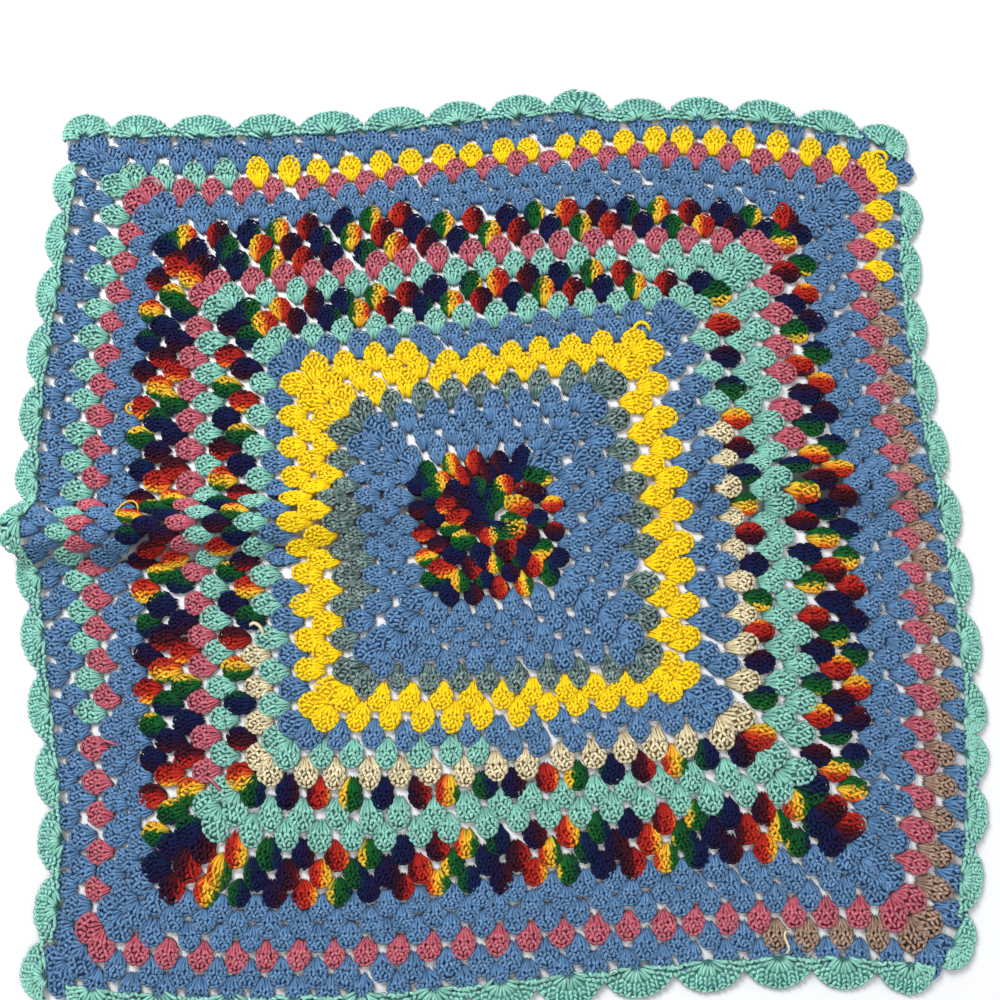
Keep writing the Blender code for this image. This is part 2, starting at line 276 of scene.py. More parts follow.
JOIN_LENGTH = 8.5
RIM_SAMPLES = 1201  # of a side's edge, to measure along it
RIM_PAST = 0.08  # how far past its ends a side's edge is carried on, as a share
CELL_MARGIN = 0.06  # round a strand in its cell of the map, as a share
RUN_STEP = 0.37  # from one strand's start to the next's along the yarn, mm, so that their
RUN_CYCLE = 5  # plies differ, and where that starts again
SQUARE_SEED = 27
EDGING_SEED = 13
TINY = 1e-9


def columns(*parts):
    """Arrays of one shape put side by side, along a new last axis."""
    return np.stack(parts, axis=-1)


def raised(flat, height):
    """Points (..., 2) in the plane, each given its height."""
    return np.concatenate([flat, height[..., None]], axis=-1)


def unit(vectors):
    """Vectors (..., n) brought to length one."""
    return vectors / np.maximum(np.linalg.norm(vectors, axis=-1, keepdims=True), TINY)


def rotated(points, angle):
    """Points (..., 2) turned clockwise about the origin by angles."""
    cosine, sine = np.cos(angle), np.sin(angle)
    x, y = np.moveaxis(points, -1, 0)
    return columns(x * cosine + y * sine, y * cosine - x * sine)


def table_at(rows, name, at):
    """A column of a table at an array of places between its rows, in a straight line past the last."""
    keys = np.array([row[0] for row in rows], float)
    values = np.array([getattr(row, name) for row in rows], float)
    low = np.clip(np.searchsorted(keys, at) - 1, 0, len(keys) - 2)
    share = (at - keys[low]) / (keys[low + 1] - keys[low])
    if values.ndim > 1:
        share = share[..., None]
    return values[low] + (values[low + 1] - values[low]) * share


def ridge(x, name):
    """The ridge's crest, height, slack or jut at places across the blanket."""
    return table_at(RIDGE, name, np.clip(x, RIDGE[0].x, RIDGE[-1].x))


def lift(x, y):
    """How high the cloth's underside stands: a rounded wave, half a cosine each side of the crest."""
    away = np.minimum(np.abs(y - ridge(x, "crest")) / RIDGE_HALF_WIDTH, 1.0)
    return ridge(x, "height") * 0.5 * (1 + np.cos(math.pi * away))


def bowed(side, turn, share):
    """A row's bow: the fourth-degree curve through 0, its three bows and 0, evenly spaced."""
    first, middle, last = np.moveaxis(table_at(BOWS, side, turn), -1, 0)
    at = 4 * np.clip(share, -BOW_PAST, 1 + BOW_PAST)
    return (first * at * (at - 2) * (at - 3) * (at - 4) / -6
            + middle * at * (at - 1) * (at - 3) * (at - 4) / 4
            + last * at * (at - 1) * (at - 2) * (at - 4) / -6)


def row_places(side, turn, share):
    """x and y of shares of one side of rounds, all arrays.

    The straight line between the round's two corners, plus the bow outward. On the left and right the
    share is of the row's true length. The ridge takes up the slack in it round its crest, shared out
    there as a parabola.
    """
    first, last = ENDS[side]
    start = table_at(RINGS, first, np.maximum(turn - 1, 0) if side == "right" else turn)
    end = table_at(RINGS, last, turn)
    if side in ("left", "right"):
        middle_x = (start[..., 0] + end[..., 0]) / 2 + OUTWARD[side][0] * table_at(BOWS, side, turn)[..., 1]
        slack = ridge(middle_x, "slack")
        span = np.maximum(np.abs(end[..., 1] - start[..., 1]), LEAST_SPAN)
        slack = np.minimum(slack, span)
        run = share * (span + slack)
        crest_run = np.abs(ridge(middle_x, "crest") - start[..., 1]) + slack / 2
        away = np.clip((run - crest_run) / BUNCH_HALF_LENGTH, -1, 1)
        share = (run - slack * (0.5 + 0.75 * (away - away ** 3 / 3))) / span
    place = start + (end - start) * share[..., None]
    bow = bowed(side, turn, share)
    if side == "left":
        x, y = place[..., 0], place[..., 1]
        bow = bow + ridge(x, "jut") * np.exp(-((y - ridge(x, "crest")) / JUT_WIDTH) ** 2)
    return place + bow[..., None] * np.array(OUTWARD[side], float)


def pitches(side, turn):
    """How many clusters long a side is: its round, or on the right one less, but half of it at least."""
    return np.maximum(turn - 1, turn / 2) if side == "right" else turn


def cloth_places(side, turn, along):
    """x and y of points given as round and as clusters along from the middle of that side."""
    share = along / np.maximum(pitches(side, turn), LEAST_TURN)
    return row_places(side, turn, 0.5 + np.clip(share, -FARTHEST, FARTHEST))


def surface(x, y):
    """The cloth's underside height at points, and its unit normal from the slopes there."""
    step = SLOPE_STEP
    slope_x = (lift(x + step, y) - lift(x - step, y)) / (2 * step)
    slope_y = (lift(x, y + step) - lift(x, y - step)) / (2 * step)
    return lift(x, y), unit(columns(-slope_x, -slope_y, np.ones_like(x)))


# --- which cluster is where and of what yarn ---
def ahead(side, place):
    """How far along its row a place is, so that it grows in the working direction."""
    return place * (ONWARD[side][0] + ONWARD[side][1])


# Per cluster: its side and round, clusters along from the side's middle, 1 for a row's last and -1 for
# its first, the same for the clusters next to those, and its place.
Clusters = namedtuple("Clusters", "side round along corner beside x y")


def worked_clusters():
    """All clusters in working order, as arrays."""
    rows = []
    for turn in range(1, LAST_CLUSTERS + 1):
        for side in CLOCKWISE:
            count = max(turn - 1, 1) if side == "right" else turn
            number = np.arange(count)
            along = number - (count - 1) / 2
            corner = (number == count - 1) * 1.0 - (number == 0) * 1.0
            beside = (number == count - 2) * 1.0 - (number == 1) * 1.0
            rounds = np.full(count, float(turn))
            x, y = cloth_places(side, rounds, along).T
            keep = (x < YARNS[-1].until) | (side != "top") | (turn < LAST_CLUSTERS)
            rows.append([c[keep] for c in (np.full(count, side), rounds, along, corner, beside, x, y)])
    return Clusters(*(np.concatenate(column) for column in zip(*rows)))


def order_of(clusters, side, turn, place):
    """Where a place along a row comes in working order, as a fractional cluster number."""
    row = np.flatnonzero((clusters.side == side) & (clusters.round == turn))
    axis = clusters.x if side in ("top", "bottom") else clusters.y
    run = ahead(side, axis[row])
    return float(np.interp(ahead(side, place), run, row)) if len(row) > 1 else float(row[0])


def yarn_of(clusters):
    """The number of the yarn that each cluster is worked in."""
    ends = [order_of(clusters, yarn.side, yarn.round, yarn.until) for yarn in YARNS[:-1]]
    return np.searchsorted(np.array(ends), np.arange(len(clusters.round)))


def colour_phase(clusters):
    """How far through its colours the many-coloured yarn is at each cluster, in cycles.

    The navy anchors in working order fix whole cycles; between two of them the number of cycles is the
    whole number nearest to the usual one, and the phase runs evenly.
    """
    anchors = sorted(order_of(clusters, row.side, row.round, place)
                     for row in NAVY for place in row.places)
    phases = [0.0]
    for before, after in zip(anchors, anchors[1:]):
        phases.append(phases[-1] + max(1, round((after - before) / CLUSTERS_PER_CYCLE)))
    at = np.arange(len(clusters.round), dtype=float)
    phase = np.interp(at, anchors, phases)
    phase = np.where(at < anchors[0], phases[0] + (at - anchors[0]) / CLUSTERS_PER_CYCLE, phase)
    return np.where(at > anchors[-1], phases[-1] + (at - anchors[-1]) / CLUSTERS_PER_CYCLE, phase)


# --- stitches as strands ---
# Strands of one kind: points (..., stations, 2) along the row and outward, height, radius across and
# radius upward (..., stations), how much painted shade darkens each station, and the number of sides.
Strands = namedtuple("Strands", "points height radius rise deep sides")


def egg_half_width(out):
    """Half a cluster's width at places outward: a rounded taper to its widest, then a quarter ellipse."""
    below = np.clip((out - EGG_TIP) / (EGG_WIDEST - EGG_TIP), 0, 1)
    above = np.clip((out - EGG_WIDEST) / (EGG_TOP - EGG_WIDEST), 0, 1)
    bulge = EGG_ROUNDNESS * np.sin(math.pi / 2 * below) + (1 - EGG_ROUNDNESS) * below
    swell = EGG_TIP_HALF_WIDTH + (EGG_HALF_WIDTH - EGG_TIP_HALF_WIDTH) * bulge
    return swell * np.sqrt(1 - above ** 2)


def egg_height(points):
    """How high strands lie on a cluster: part of an ellipse from side to side, rising from the tip."""
    off = points[..., 0] / np.maximum(egg_half_width(points[..., 1]), EGG_LEAST_HALF_WIDTH)
    bulge = np.sqrt(np.clip(1 - EGG_CURVE * off ** 2, EGG_LEAST_BULGE, 1))
    start = np.clip((points[..., 1] - EGG_TIP) / EGG_START, 0, 1)
    tilt = EGG_TILT * points[..., 1]
    return EGG_EDGE_HEIGHT + (EGG_CROWN_HEIGHT - EGG_EDGE_HEIGHT) * bulge * start + tilt


def edge_painted_shade(points):
    """Painted shade on grains near a cluster's outline: the fourth power of the way out to it."""
    middle = points.mean(axis=1)
    off = (middle[:, 0] / EGG_HALF_WIDTH) ** 2 + ((middle[:, 1] - EGG_WIDEST) / (EGG_TOP - EGG_WIDEST)) ** 2
    return EDGE_PAINTED_SHADE * np.minimum(off, 1.0)[:, None] ** 2


def grains(centres, angles, size):
    """Plump spindles about rows of centres (n, 2), each pointing at its angle from outward."""
    centre, angle = np.concatenate(centres), np.concatenate(angles)
    way = columns(np.sin(angle), np.cos(angle))
    length = GRAIN_LENGTH * size
    points = centre[:, None] + way[:, None] * np.array(GRAIN_RUN)[:, None] * length
    swell = np.tile(np.array(GRAIN_SWELL) * GRAIN_RADIUS * size, (len(centre), 1))
    dip = (1 - np.array(GRAIN_SWELL)) * GRAIN_DIP
    # painted shade on each grain, darkest at its ends
    deep = np.tile(GRAIN_END_PAINTED_SHADE - GRAIN_END_PAINTED_SHADE * np.array(GRAIN_SWELL), (len(centre), 1))
    return points, swell, dip, deep


def body_strand(along, out, height, width):
    """The one wide, low strand under the others, drawn to a point at both ends, all in painted shade."""
    width = np.maximum(width, 0.0)
    width[[0, -1]] = 0
    rise = np.where(width > 0, BODY_RISE, 0.0)
    points = columns(along, out)
    # the whole body in full painted shade, for the dark between the strands
    return Strands(points[None], height[None], width[None], rise[None], np.ones((1, len(out))), BODY_SIDES)


def cluster_template():
    """One cluster's body, legs and grains in its own millimetres.

    The body is a flat egg in painted shade, drawn in a little from the outline. The legs follow the
    outline at shares of its width, with painted shade at their ends. The cap's rows slant to and fro and
    fan out, and the rim's grains lie along an ellipse round the egg's widest place; grains take painted
    shade at their ends and near the outline.
    """
    out = np.array(BODY_OUT)
    body = body_strand(0 * out, out, BODY_HEIGHT + EGG_TILT * out, egg_half_width(out) - BODY_INSET)
    share = np.array(LEG_PLACES)[:, None]
    out = np.array(LEG_OUT)
    points = columns(share * (egg_half_width(out) - LEG_INSET), 0 * share + out)
    radius = np.tile(LEG_RADIUS, (len(share), 1))
    deep = np.tile(LEG_PAINTED_SHADE, (len(share), 1))
    legs = Strands(points, egg_height(points) - LEG_LOWER, radius, radius, deep, SIDES)
    centres, angles = [], []
    for row in CAP:
        place = np.linspace(-1, 1, row.count)
        wide = egg_half_width(row.out) - row.inset
        centres.append(columns(place * wide, row.out - ROW_SAG * place ** 2))
        sway = np.where(np.arange(row.count) % 2, -1.0, 1.0)
        angles.append(np.radians(row.slant) * sway + place * ROW_FAN)
    turn = (np.arange(RIM_COUNT) - (RIM_COUNT - 1) / 2) * RIM_STEP
    centres.append(columns(np.sin(turn) * (EGG_HALF_WIDTH - GRAIN_INSET),
                           EGG_WIDEST + np.cos(turn) * (EGG_TOP - EGG_WIDEST - GRAIN_INSET)))
    angles.append(turn + math.pi / 2 - RIM_TWIST)
    points, radius, dip, deep = grains(centres, angles, 1.0)
    # painted shade near the outline, so the cluster reads as rounded
    deep = np.maximum(deep, edge_painted_shade(points))
    heads = Strands(points, egg_height(points) + GRAIN_HIGHER - dip, radius, radius, deep, SIDES)
    return body, legs, heads


def fan_template(depth, before, after, has_join):
    """One shell's body, legs and grains in its own millimetres; depth is how far it stands out.

    Everything is set out by angle round the foot, at shares of the reach to an ellipse, which is as wide
    as before on the near side and as after on the far side. The body runs along the row, its sections
    reaching from the lowest legs to the ellipse. The two loops of the join stand at the far end.
    """
    tall = depth - FAN_FOOT

    def spot(angle, share):
        wide = np.where(angle < 0, before, after)
        reach = share / np.sqrt((np.sin(angle) / wide) ** 2 + (np.cos(angle) / tall) ** 2)
        return columns(np.sin(angle) * reach, np.cos(angle) * reach + FAN_FOOT)

    share = np.array(FAN_BODY)
    along = share * (np.where(share < 0, before, after) - FAN_BODY_INSET)
    top = tall * np.sqrt(np.clip(1 - share ** 2, 0, 1)) - FAN_BODY_INSET
    low = np.minimum(np.abs(along) / math.tan(FAN_HALF_ANGLE), top)
    body = body_strand(along, (top + low) / 2 + FAN_FOOT, np.full(len(along), FAN_BODY_HEIGHT),
                       (top - low) / 2)
    angle = np.linspace(-FAN_HALF_ANGLE, FAN_HALF_ANGLE, FAN_LEGS)[:, None]
    share = np.array(FAN_LEG_SHARES)
    points = spot(angle + 0 * share, share + 0 * angle)
    stations = (FAN_LEG_RADIUS, FAN_LEG_HEIGHT, FAN_LEG_PAINTED_SHADE)
    radius, height, deep = (np.tile(row, (FAN_LEGS, 1)) for row in stations)
    legs = Strands(points, height, radius, radius, deep, SIDES)
    centres, angles = [], []
    for row in FAN_ROWS:
        angle = np.linspace(-FAN_HALF_ANGLE, FAN_HALF_ANGLE, row.count) * FAN_ROW_ANGLE
        centres.append(spot(angle, row.share))
        angles.append(angle + math.radians(row.slant) * np.where(np.arange(row.count) % 2, -1, 1))
    angle = np.linspace(-FAN_HALF_ANGLE, FAN_HALF_ANGLE, FAN_RIM_COUNT) * FAN_RIM_ANGLE
    rim = spot(angle, FAN_RIM_SHARE)
    onward = spot(angle + FAN_RIM_STEP, FAN_RIM_SHARE) - rim
    centres.append(rim)
    angles.append(np.arctan2(onward[:, 0], onward[:, 1]) - RIM_TWIST)
    if has_join:
        sway = np.array([-JOIN_SPREAD, JOIN_SPREAD])
        centres.append(columns(after + np.sin(sway) * JOIN_LENGTH / 2,
                               JOIN_FOOT + np.cos(sway) * JOIN_LENGTH / 2))
        angles.append(sway)
    points, radius, dip, deep = grains(centres, angles, FAN_GRAIN_SIZE)
    heads = Strands(points, FAN_GRAIN_HEIGHT - dip + 0 * radius, radius, radius, deep, SIDES)
    return body, legs, heads


def shaken(strands, count, rng):
    """count copies of a kind of strand, each strand but a body turned, shifted and raised a little."""
    points = strands.points
    middle = points.mean(axis=1, keepdims=True)
    loose = 0.0 if strands.sides == BODY_SIDES else 1.0

    def stray(spread, *shape):
        return rng.normal(0, spread * loose, (count, len(points), *shape))

    moved = rotated(points - middle, stray(GRAIN_TURN_SPREAD, 1))
    moved = moved + middle + stray(GRAIN_SHIFT_SPREAD, 1, 2)
    height = strands.height + stray(GRAIN_HEIGHT_SPREAD, 1)
    size = 1 + stray(GRAIN_SIZE_SPREAD, 1)
    deep = np.broadcast_to(strands.deep, (count,) + strands.deep.shape)
    return Strands(moved, height, strands.radius * size, strands.rise * size, deep, strands.sides)


def turned(points, about, angle, scale):
    """Points (n, strands, stations, 2) turned about another point by n angles and scaled, in the plane."""
    return rotated((points - about) * scale[:, None, None], angle[:, None, None]) + about


def row_frame(side, turn, along):
    """The ways along the row and to the next one at clusters' middles, in mm to a cluster and a round."""
    step = FRAME_STEP
    across = (cloth_places(side, turn, along + step) - cloth_places(side, turn, along - step)) / (2 * step)
    out = (cloth_places(side, turn + step, along) - cloth_places(side, turn - step, along)) / (2 * step)
    return across, out


def to_cloth(sides, turn, along, local):
    """Clusters' local strand points (n, ..., 3) laid on the cloth, and the surface's normals there.

    Along the row a cluster follows the lay. Outward it runs straight, between square to its row and the
    way to the next round, and about as far as the rounds there are apart.
    """
    out = np.zeros(local.shape)
    normal = np.zeros(local.shape)
    extra = (slice(None),) + (None,) * (local.ndim - 2)
    for side in CLOCKWISE:
        pick = sides == side
        if not pick.any():
            continue
        across, onward = row_frame(side, turn[pick], along[pick])
        square = unit(columns(-across[:, 1], across[:, 0]))
        far = (onward * square).sum(axis=-1, keepdims=True)
        slant = square + SLANT_SHARE * (onward / far - square)
        slant = slant * np.clip(far / ROW, REACH_LEAST, REACH_MOST)
        place = cloth_places(side, turn[pick][extra] + 0 * local[pick][..., 0],
                             along[pick][extra] + local[pick][..., 0] / PITCH)
        place = place + slant[extra] * local[pick][..., 1:2]
        height, up = surface(place[..., 0], place[..., 1])
        flat = raised(place, height)
        out[pick] = flat + up * local[pick][..., 2:]
        normal[pick] = up
    return out, normal


def rim_turn(side, share):
    """The round whose edge the shells stand on: the last, or by a smooth step the one before it."""
    if side != "top":
        return np.full(share.shape, LAST_ROUND)
    stepped = np.clip((share - STOP_AT) / STOP_OVER + 0.5, 0, 1)
    return LAST_ROUND - stepped * stepped * (3 - 2 * stepped)


def rim_line(side):
    """A side's edge as finely spaced points: places, outward unit vectors, and millimetres along it."""
    share = np.linspace(-RIM_PAST, 1 + RIM_PAST, RIM_SAMPLES)
    place = row_places(side, rim_turn(side, share), share)
    onward = np.gradient(place, axis=0)
    length = np.linalg.norm(onward, axis=-1)
    out = columns(-onward[:, 1], onward[:, 0]) / length[:, None]
    return place, out, np.concatenate([[0], np.cumsum(length)[:-1]])


def to_rim(line, at, local):
    """Local strand points (..., 3) laid along a side's edge from a distance along it."""
    place, out, run = line
    where = at + local[..., 0]
    flat, square = (columns(*(np.interp(where, run, column) for column in pair.T))
                    for pair in (place, out))
    flat = flat + local[..., 1:2] * square
    height, up = surface(flat[..., 0], flat[..., 1])
    return raised(flat, height) + up * local[..., 2:], up


def strand_mesh(points, radius, rise, up, sides):
    """Vertices of closed strands: a point, rings of corners round each inner station, and a point.

    A ring lies across the strand's run, its first corner towards the surface's normal; it is as wide as
    radius and as high as rise.
    """
    count = len(points)
    run = unit(points[:, 2:] - points[:, :-2])
    across = unit(np.cross(run, up[:, 1:-1]))
    above = np.cross(across, run) * rise[:, 1:-1, None]
    across = across * radius[:, 1:-1, None]
    angle = np.arange(sides) * TAU / sides
    ring = above[:, :, None] * np.cos(angle)[:, None] + across[:, :, None] * np.sin(angle)[:, None]
    ring = points[:, 1:-1, None] + ring
    return np.concatenate([points[:, :1], ring.reshape(count, -1, 3), points[:, -1:]], axis=1)


def strand_faces(stations, sides):
    """One strand's corners, face by face, the faces' sizes, and each corner's station and place round."""
    last = 1 + sides * (stations - 2)

    def corner(station, side):
        """A vertex, its station and its place round the strand, on a ring."""
        return 1 + sides * (station - 1) + side % sides, station, side

    faces = []
    for side in range(sides):
        faces.append([(0, 0, side + 0.5), corner(1, side + 1), corner(1, side)])
        for near in range(1, stations - 2):
            faces.append([corner(near, side), corner(near, side + 1),
                          corner(near + 1, side + 1), corner(near + 1, side)])
        faces.append([corner(stations - 2, side), corner(stations - 2, side + 1),
                      (last, stations - 1, side + 0.5)])
    vertex, station, around = np.array([c for face in faces for c in face]).T
    return vertex.astype(int), np.array([len(face) for face in faces]), station.astype(int), around / sides


# Strands laid on the cloth, each in space: points (strands, stations, 3), radius, rise, surface normal,
# named facts per station, and the number of sides.
Batch = namedtuple("Batch", "points radius rise up facts sides")


def make_piece(name, batches, material):
    """A piece of joined strands, from batches.

    Each strand has a cell of its own in the map OFBake, and the map Strand holds millimetres along and
    turns round.
    """
    total = sum(len(b.points) for b in batches)
    cells_across = math.ceil(math.sqrt(total))
    verts, loops, sizes, bakes, strands, facts = [], [], [], [], [], {}
    first_vert, first_cell = 0, 0
    for points, radius, rise, up, values, sides in batches:
        count, stations = points.shape[:2]
        rings = strand_mesh(points, radius, rise, up, sides)
        per = rings.shape[1]
        corner, size, station, around = strand_faces(stations, sides)
        verts.append(rings.reshape(-1, 3))
        loops.append((corner[None] + np.arange(count)[:, None] * per).ravel() + first_vert)
        sizes.append(np.tile(size, count))
        number = first_cell + np.arange(count)
        cell = columns(number % cells_across, number // cells_across)
        inside = CELL_MARGIN + (1 - 2 * CELL_MARGIN) * columns(station / (stations - 1), around)
        bakes.append(((cell[:, None] + inside[None]) / cells_across).reshape(-1, 2))
        step = np.linalg.norm(np.diff(points, axis=1), axis=-1)
        run = np.concatenate([np.zeros((count, 1)), np.cumsum(step, axis=1)], axis=1)
        run = run + (number * RUN_STEP % RUN_CYCLE)[:, None]
        rounds = np.broadcast_to(around, (count, len(around)))
        strands.append(columns(run[:, station], rounds).reshape(-1, 2))
        ring_of = np.concatenate([[0], np.repeat(np.arange(1, stations - 1), sides), [stations - 1]])
        for fact, value in values.items():
            facts.setdefault(fact, []).append(value[:, ring_of].ravel())
        first_vert += count * per
        first_cell += count
    verts, loops, sizes = (np.concatenate(a) for a in (verts, loops, sizes))
    starts = np.concatenate([[0], np.cumsum(sizes)[:-1]])
    mesh = bpy.data.meshes.new(name)
    for kind, key, values in ((mesh.vertices, "co", ((verts - (*CENTRE, 0)) * MM).astype(np.float32)),
                              (mesh.loops, "vertex_index", loops.astype(np.int32)),
                              (mesh.polygons, "loop_start", starts.astype(np.int32))):
        kind.add(len(values))
        kind.foreach_set(key, values.ravel())
    mesh.update(calc_edges=True)
    mesh.validate()
    mesh.shade_smooth()
    for layer, uv in (("OFBake", bakes), ("Strand", strands)):
        mesh.uv_layers.new(name=layer).data.foreach_set("uv", np.concatenate(uv).astype(np.float32).ravel())
    for fact, values in facts.items():
        layer = mesh.attributes.new(fact, "FLOAT", "POINT")
        layer.data.foreach_set("value", np.concatenate(values).astype(np.float32))
    mesh.materials.append(material)
    piece = link(name, mesh)
    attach(piece, "root")
    return piece


# --- materials ---
PLIES = 3.0
PLY_TWIST = 0.16  # turns of the plies round a strand for each mm along it
FIBRE_RUN = (0.25, 2.5)  # how finely fibres vary along a strand, per mm, and round it, per ply
FIBRE_NOISE = (2.2, 3.0)  # scale and detail
FIBRE_SHARE = 0.55  # of the light that varies with them
CLOUD_NOISE = (420.0, 2.0)
CLOUD_LIGHT = (0.3, 0.7, 0.93, 1.07)  # its low and high values, and the light there
PLY_PAINTED_SHADE_AND_HIGHLIGHT = (0.74, 1.06)  # painted shade between two plies and painted highlight on top of one
FLANK_PAINTED_SHADE_TURNS = (0.12, 0.25)  # turns from a strand's top over which its sides take painted shade
# how dark the painted shade on a strand's sides gets
FLANK_PAINTED_SHADE_DEPTH = 0.9
BUMP_FIBRE = 0.5  # of the fibres against the plies
BUMP_STRENGTH = 0.8
BUMP_DISTANCE = 0.00045  # m
ROUGHNESS = 0.8
SPECULAR = 0.15
SHEEN = 0.06
DARK_SHEEN = 0.02  # of the many-coloured yarn
SHEEN_ROUGHNESS = 0.5

# Yarn colours, as light reflected: main, second ply, the tint of its painted shade between strands, how
# much of the second, and how much grains differ. The many-coloured yarn has its colours in the table of
# dyes.
Look = namedtuple("Look", "main second deep marl mottle")
LOOKS = {
    "blue": Look((0.105, 0.235, 0.430), (0.200, 0.360, 0.570), (0.12, 0.23, 0.36), 0.5, 0.45),
    "aqua": Look((0.250, 0.600, 0.480), (0.420, 0.760, 0.660), (0.15, 0.30, 0.34), 0.5, 0.35),
    "pink": Look((0.530, 0.095, 0.145), (0.760, 0.270, 0.320), (0.34, 0.12, 0.18), 0.5, 0.35),
    "yellow": Look((1.000, 0.730, 0.004), (1.000, 0.790, 0.020), (0.86, 0.66, 0.40), 0.3, 0.06),
    "sage": Look((0.070, 0.145, 0.135), (0.270, 0.360, 0.345), (0.18, 0.24, 0.22), 0.9, 0.80),
    "taupe": Look((0.340, 0.210, 0.145), (0.600, 0.420, 0.330), (0.13, 0.11, 0.09), 0.6, 0.50),
    "cream": Look((0.800, 0.690, 0.430), (0.920, 0.840, 0.600), (0.22, 0.15, 0.08), 0.5, 0.45),
    "multi": Look(None, None, (0.40, 0.36, 0.36), 0.0, 0.4),
}
# The many-coloured yarn's colours in working order, from one navy stretch to the next.
DYES = table(
    "at colour",
    (0.00, (0.004, 0.008, 0.065)), (0.12, (0.003, 0.014, 0.070)), (0.16, (0.003, 0.065, 0.025)),
    (0.33, (0.006, 0.130, 0.018)), (0.36, (0.850, 0.580, 0.040)), (0.44, (0.980, 0.480, 0.030)),
    (0.47, (0.900, 0.180, 0.015)), (0.51, (0.560, 0.030, 0.014)), (0.64, (0.420, 0.014, 0.012)),
    (0.68, (0.090, 0.004, 0.010)), (0.80, (0.026, 0.003, 0.020)), (0.88, (0.010, 0.004, 0.050)),
)


class Nodes:
    """Short calls to add and join a node tree's nodes."""

    def __init__(self, tree):
        self.tree = tree

    def fill(self, node, values):
        """Join or set inputs, given by name or number."""
        for key, value in values.items():
            if isinstance(value, bpy.types.NodeSocket):
                self.tree.links.new(value, node.inputs[key])
            else:
                node.inputs[key].default_value = value
        return node

    def add(self, kind, values=None, **settings):
        node = self.tree.nodes.new(kind)
        for key, value in settings.items():
            setattr(node, key, value)
        return self.fill(node, values or {})

    def math(self, operation, *values):
        return self.add("ShaderNodeMath", dict(enumerate(values)), operation=operation).outputs[0]

    def times(self, *values):
        return self.math("MULTIPLY", *values)

    def near_one(self, value, share):
        """One, plus a share of how far a value lies above a half."""
        return self.math("ADD", 1.0, self.times(self.math("SUBTRACT", value, 0.5), share))

    def mix(self, share, first, second, blend="MIX"):
        values = {"Factor": share, "A": first, "B": second}
        settings = {"data_type": "RGBA", "blend_type": blend, "clamp_factor": True}
        return self.add("ShaderNodeMix", values, **settings).outputs["Result"]

    def remap(self, *values):
        """A value carried from between two values to between two others."""
        return self.add("ShaderNodeMapRange", dict(enumerate(values))).outputs[0]

    def noise(self, where, scale, detail):
        values = {"Vector": where, "Scale": scale, "Detail": detail}
        return self.add("ShaderNodeTexNoise", values).outputs[0]

    def vector(self, *values):
        return self.add("ShaderNodeCombineXYZ", dict(enumerate(values))).outputs[0]

    def fact(self, name):
        """A named fact of the mesh."""
        return self.add("ShaderNodeAttribute", attribute_name=name).outputs["Fac"]

    def place(self):
        return self.add("ShaderNodeTexCoord").outputs["Object"]


def yarn_group():
    """A node group that turns a yarn's colours into a spun strand's colour and bump.

    Plies run round the strand once every few millimetres, which the height follows; the colour has painted
    shade between the plies and a painted highlight on their tops. Fibres are noise drawn out along the
    strand. The second colour shows on its share of the plies. A strand's ends and its sides, which lie low
    between it and the next, take painted shade towards the shade tint.
    """
    group = bpy.data.node_groups.new("spun yarn", "ShaderNodeTree")
    face = group.interface
    for way, kind, names in (("INPUT", "Color", ("Colour", "Second colour", "Painted shade tint")),
                             ("INPUT", "Float", ("Marl", "Mottle")),
                             ("OUTPUT", "Color", ("Colour",)), ("OUTPUT", "Vector", ("Normal",))):
        for name in names:
            face.new_socket(name, in_out=way, socket_type=f"NodeSocket{kind}")
    n = Nodes(group)
    given = n.add("NodeGroupInput").outputs
    strand = n.add("ShaderNodeUVMap", uv_map="Strand").outputs[0]
    along, around, _ = n.add("ShaderNodeSeparateXYZ", {0: strand}).outputs
    ply = n.math("ADD", n.times(around, PLIES), n.times(along, PLY_TWIST))
    wave = n.math("ABSOLUTE", n.math("SINE", n.times(ply, math.pi)))
    which = n.math("FRACT", n.times(ply, 0.5))
    fibre_place = n.vector(n.times(along, FIBRE_RUN[0]), n.times(ply, FIBRE_RUN[1]))
    fibre = n.noise(fibre_place, *FIBRE_NOISE)

    second = n.times(n.math("GREATER_THAN", which, 0.5), given["Marl"])
    colour = n.mix(second, given["Colour"], given["Second colour"])
    light = n.near_one(fibre, FIBRE_SHARE)
    # painted shade between the plies and painted highlight on their tops
    light = n.times(light, n.remap(wave, 0.0, 1.0, *PLY_PAINTED_SHADE_AND_HIGHLIGHT))
    light = n.times(light, n.near_one(n.fact("grain"), given["Mottle"]))
    light = n.times(light, n.remap(n.noise(n.place(), *CLOUD_NOISE), *CLOUD_LIGHT))
    colour = n.mix(1.0, colour, n.vector(light, light, light), "MULTIPLY")
    # painted shade: from the station fact, or low on a strand's sides away from its top
    from_top = n.math("MINIMUM", around, n.math("SUBTRACT", 1.0, around))
    deep = n.math("MAXIMUM", n.fact("deep"), n.remap(from_top, *FLANK_PAINTED_SHADE_TURNS, 0.0, FLANK_PAINTED_SHADE_DEPTH))
    # painted shade darkens the colour towards the yarn's shade tint
    colour = n.mix(deep, colour, given["Painted shade tint"], "MULTIPLY")

    height = n.math("ADD", wave, n.times(fibre, BUMP_FIBRE))
    bump = n.add("ShaderNodeBump", {"Strength": BUMP_STRENGTH, "Distance": BUMP_DISTANCE, "Height": height})
    n.add("NodeGroupOutput", {"Colour": colour, "Normal": bump.outputs[0]})
    return group


